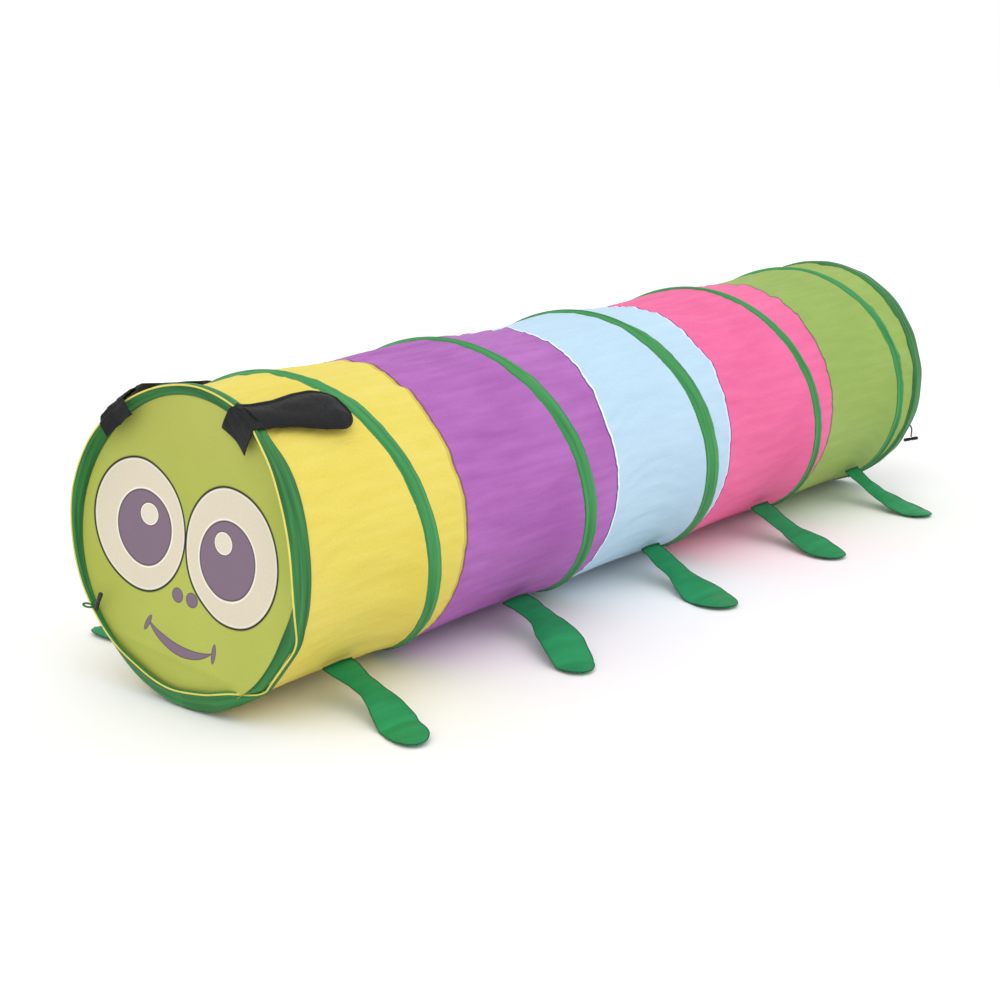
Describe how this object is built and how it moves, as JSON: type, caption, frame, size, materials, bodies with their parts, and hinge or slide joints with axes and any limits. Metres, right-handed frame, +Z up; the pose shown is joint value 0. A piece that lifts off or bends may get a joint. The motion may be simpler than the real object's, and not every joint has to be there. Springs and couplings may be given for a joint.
{
  "type": "pop-up crawl tunnel",
  "caption": "Pop-up fabric crawl tunnel on a helical spring wire, with a face flap, padded feelers, fabric legs and closing toggles; packs flat end to end.",
  "frame": {"origin": "on the floor, under the middle of the tunnel's bounding box (without the rear toggle on its cord)", "axes": "+X along the tunnel from the face to the open rear end, +Y to the far side, +Z up"},
  "size_m": [1.8391, 0.729, 0.4666],
  "materials": {
    "steel_wire": "bright drawn spring wire",
    "green_tape": "woven polyester binding tape",
    "face_fabric": "printed polyester taffeta",
    "yellow_fabric": "polyester taffeta",
    "purple_fabric": "polyester taffeta",
    "blue_fabric": "polyester taffeta",
    "pink_fabric": "polyester taffeta",
    "green_fabric": "polyester taffeta",
    "leg_fabric": "satin polyester, edged",
    "black_fabric": "black nylon, padded",
    "black_cord": "braided elastic cord",
    "black_plastic": "moulded"
  },
  "bodies": {
    "front_end": {"front_rim_binding": "green_tape", "front_hoop_wire": "steel_wire", "front_hoop_ferrule": "steel_wire", "face_header": "face_fabric", "feeler_strap_near": "black_fabric", "feeler_strap_far": "black_fabric", "front_toggle_loop": "green_tape"},
    "face_flap": {"face_flap": "face_fabric"},
    "feeler_near": {"feeler_near": "black_fabric"},
    "feeler_far": {"feeler_far": "black_fabric"},
    "front_toggle": {"front_toggle_bar": "black_plastic"},
    "segment_1": {"yellow_section": "yellow_fabric", "coil_turn_1": "steel_wire", "coil_channel_1": "green_tape"},
    "segment_2": {"purple_section": "purple_fabric", "coil_turn_2": "steel_wire", "coil_channel_2": "green_tape"},
    "segment_3": {"blue_section": "blue_fabric", "coil_turn_3": "steel_wire", "coil_channel_3": "green_tape"},
    "segment_4": {"pink_section": "pink_fabric", "coil_turn_4": "steel_wire", "coil_channel_4": "green_tape"},
    "segment_5": {"green_section": "green_fabric", "coil_turn_5": "steel_wire", "coil_channel_5": "green_tape"},
    "leg_near_1": {"leg_near_1": "leg_fabric"},
    "leg_near_2": {"leg_near_2": "leg_fabric"},
    "leg_near_3": {"leg_near_3": "leg_fabric"},
    "leg_near_4": {"leg_near_4": "leg_fabric"},
    "leg_near_5": {"leg_near_5": "leg_fabric"},
    "leg_far_1": {"leg_far_1": "leg_fabric"},
    "leg_far_2": {"leg_far_2": "leg_fabric"},
    "leg_far_3": {"leg_far_3": "leg_fabric"},
    "leg_far_4": {"leg_far_4": "leg_fabric"},
    "leg_far_5": {"leg_far_5": "leg_fabric"},
    "rear_end": {"rear_rim_binding": "green_tape", "rear_hoop_wire": "steel_wire", "rear_hoop_ferrule": "steel_wire"},
    "rear_toggle": {"rear_toggle_cord": "black_cord", "rear_toggle_bar": "black_plastic"}
  },
  "joints": [
    {"name": "pack_flat", "type": "slide", "parent": "front_end", "child": "rear_end", "axis": [-1, 0, 0], "range_m": [0, 1.7], "stiffness_N_per_m": 8, "springref_m": -0.2, "deforming": ["yellow_section", "coil_turn_1", "coil_channel_1", "purple_section", "coil_turn_2", "coil_channel_2", "blue_section", "coil_turn_3", "coil_channel_3", "pink_section", "coil_turn_4", "coil_channel_4", "green_section", "coil_turn_5", "coil_channel_5", "leg_near_1", "leg_near_2", "leg_near_3", "leg_near_4", "leg_near_5", "leg_far_1", "leg_far_2", "leg_far_3", "leg_far_4", "leg_far_5"]},
    {"name": "segment_1_slide", "type": "slide", "parent": "front_end", "child": "segment_1", "axis": [-1, 0, 0], "range_m": [0, 0.132], "deforming": ["yellow_section", "coil_turn_1", "coil_channel_1", "purple_section", "coil_turn_2", "coil_channel_2", "blue_section", "coil_turn_3", "coil_channel_3", "pink_section", "coil_turn_4", "coil_channel_4", "green_section", "coil_turn_5", "coil_channel_5", "leg_near_1", "leg_near_2", "leg_near_3", "leg_near_4", "leg_near_5", "leg_far_1", "leg_far_2", "leg_far_3", "leg_far_4", "leg_far_5"]},
    {"name": "segment_2_slide", "type": "slide", "parent": "front_end", "child": "segment_2", "axis": [-1, 0, 0], "range_m": [0, 0.5396], "deforming": ["yellow_section", "coil_turn_1", "coil_channel_1", "purple_section", "coil_turn_2", "coil_channel_2", "blue_section", "coil_turn_3", "coil_channel_3", "pink_section", "coil_turn_4", "coil_channel_4", "green_section", "coil_turn_5", "coil_channel_5", "leg_near_1", "leg_near_2", "leg_near_3", "leg_near_4", "leg_near_5", "leg_far_1", "leg_far_2", "leg_far_3", "leg_far_4", "leg_far_5"]},
    {"name": "segment_3_slide", "type": "slide", "parent": "front_end", "child": "segment_3", "axis": [-1, 0, 0], "range_m": [0, 0.9054], "deforming": ["yellow_section", "coil_turn_1", "coil_channel_1", "purple_section", "coil_turn_2", "coil_channel_2", "blue_section", "coil_turn_3", "coil_channel_3", "pink_section", "coil_turn_4", "coil_channel_4", "green_section", "coil_turn_5", "coil_channel_5", "leg_near_1", "leg_near_2", "leg_near_3", "leg_near_4", "leg_near_5", "leg_far_1", "leg_far_2", "leg_far_3", "leg_far_4", "leg_far_5"]},
    {"name": "segment_4_slide", "type": "slide", "parent": "front_end", "child": "segment_4", "axis": [-1, 0, 0], "range_m": [0, 1.2498], "deforming": ["yellow_section", "coil_turn_1", "coil_channel_1", "purple_section", "coil_turn_2", "coil_channel_2", "blue_section", "coil_turn_3", "coil_channel_3", "pink_section", "coil_turn_4", "coil_channel_4", "green_section", "coil_turn_5", "coil_channel_5", "leg_near_1", "leg_near_2", "leg_near_3", "leg_near_4", "leg_near_5", "leg_far_1", "leg_far_2", "leg_far_3", "leg_far_4", "leg_far_5"]},
    {"name": "segment_5_slide", "type": "slide", "parent": "front_end", "child": "segment_5", "axis": [-1, 0, 0], "range_m": [0, 1.5894], "deforming": ["yellow_section", "coil_turn_1", "coil_channel_1", "purple_section", "coil_turn_2", "coil_channel_2", "blue_section", "coil_turn_3", "coil_channel_3", "pink_section", "coil_turn_4", "coil_channel_4", "green_section", "coil_turn_5", "coil_channel_5", "leg_near_1", "leg_near_2", "leg_near_3", "leg_near_4", "leg_near_5", "leg_far_1", "leg_far_2", "leg_far_3", "leg_far_4", "leg_far_5"]},
    {"name": "leg_near_1_swing", "type": "hinge", "parent": "segment_1", "child": "leg_near_1", "pos_m": [-0.73675, -0.15624, 0.06187], "axis": [-1, 0, 0], "range_deg": [0, 50]},
    {"name": "leg_near_2_swing", "type": "hinge", "parent": "segment_2", "child": "leg_near_2", "pos_m": [-0.31675, -0.15624, 0.06187], "axis": [-1, 0, 0], "range_deg": [0, 50]},
    {"name": "leg_near_3_swing", "type": "hinge", "parent": "segment_3", "child": "leg_near_3", "pos_m": [0.06025, -0.15624, 0.06187], "axis": [-1, 0, 0], "range_deg": [0, 50]},
    {"name": "leg_near_4_swing", "type": "hinge", "parent": "segment_4", "child": "leg_near_4", "pos_m": [0.41525, -0.15624, 0.06187], "axis": [-1, 0, 0], "range_deg": [0, 50]},
    {"name": "leg_near_5_swing", "type": "hinge", "parent": "segment_5", "child": "leg_near_5", "pos_m": [0.76525, -0.15624, 0.06187], "axis": [-1, 0, 0], "range_deg": [0, 50]},
    {"name": "leg_far_1_swing", "type": "hinge", "parent": "segment_1", "child": "leg_far_1", "pos_m": [-0.73675, 0.15624, 0.06187], "axis": [1, 0, 0], "range_deg": [0, 50]},
    {"name": "leg_far_2_swing", "type": "hinge", "parent": "segment_2", "child": "leg_far_2", "pos_m": [-0.31675, 0.15624, 0.06187], "axis": [1, 0, 0], "range_deg": [0, 50]},
    {"name": "leg_far_3_swing", "type": "hinge", "parent": "segment_3", "child": "leg_far_3", "pos_m": [0.06025, 0.15624, 0.06187], "axis": [1, 0, 0], "range_deg": [0, 50]},
    {"name": "leg_far_4_swing", "type": "hinge", "parent": "segment_4", "child": "leg_far_4", "pos_m": [0.41525, 0.15624, 0.06187], "axis": [1, 0, 0], "range_deg": [0, 50]},
    {"name": "leg_far_5_swing", "type": "hinge", "parent": "segment_5", "child": "leg_far_5", "pos_m": [0.76525, 0.15624, 0.06187], "axis": [1, 0, 0], "range_deg": [0, 50]},
    {"name": "feeler_near_lift", "type": "hinge", "parent": "front_end", "child": "feeler_near", "pos_m": [-0.85675, -0.11424, 0.43938], "axis": [0, -0.8746, -0.4848], "range_deg": [0, 80]},
    {"name": "feeler_far_lift", "type": "hinge", "parent": "front_end", "child": "feeler_far", "pos_m": [-0.85675, 0.14182, 0.42148], "axis": [0, -0.7986, 0.6018], "range_deg": [0, 80]},
    {"name": "face_flap_swing", "type": "hinge", "parent": "front_end", "child": "face_flap", "pos_m": [-0.88035, 0, 0.36308], "axis": [0, -1, 0], "range_deg": [0, 40]},
    {"name": "front_toggle_turn", "type": "hinge", "parent": "front_end", "child": "front_toggle", "pos_m": [-0.90925, 0.17, 0.13028], "axis": [1, 0, 0], "range_deg": [-30, 5]},
    {"name": "rear_toggle_swing", "type": "hinge", "parent": "rear_end", "child": "rear_toggle", "pos_m": [0.91725, -0.209, 0.14028], "axis": [1, 0, 0], "range_deg": [-30, 30]}
  ],
  "couplings": [
    {"joint": "segment_1_slide", "follows": "pack_flat", "ratio": 0.076484},
    {"joint": "segment_2_slide", "follows": "pack_flat", "ratio": 0.31621},
    {"joint": "segment_3_slide", "follows": "pack_flat", "ratio": 0.53139},
    {"joint": "segment_4_slide", "follows": "pack_flat", "ratio": 0.73402},
    {"joint": "segment_5_slide", "follows": "pack_flat", "ratio": 0.93379}
  ]
}
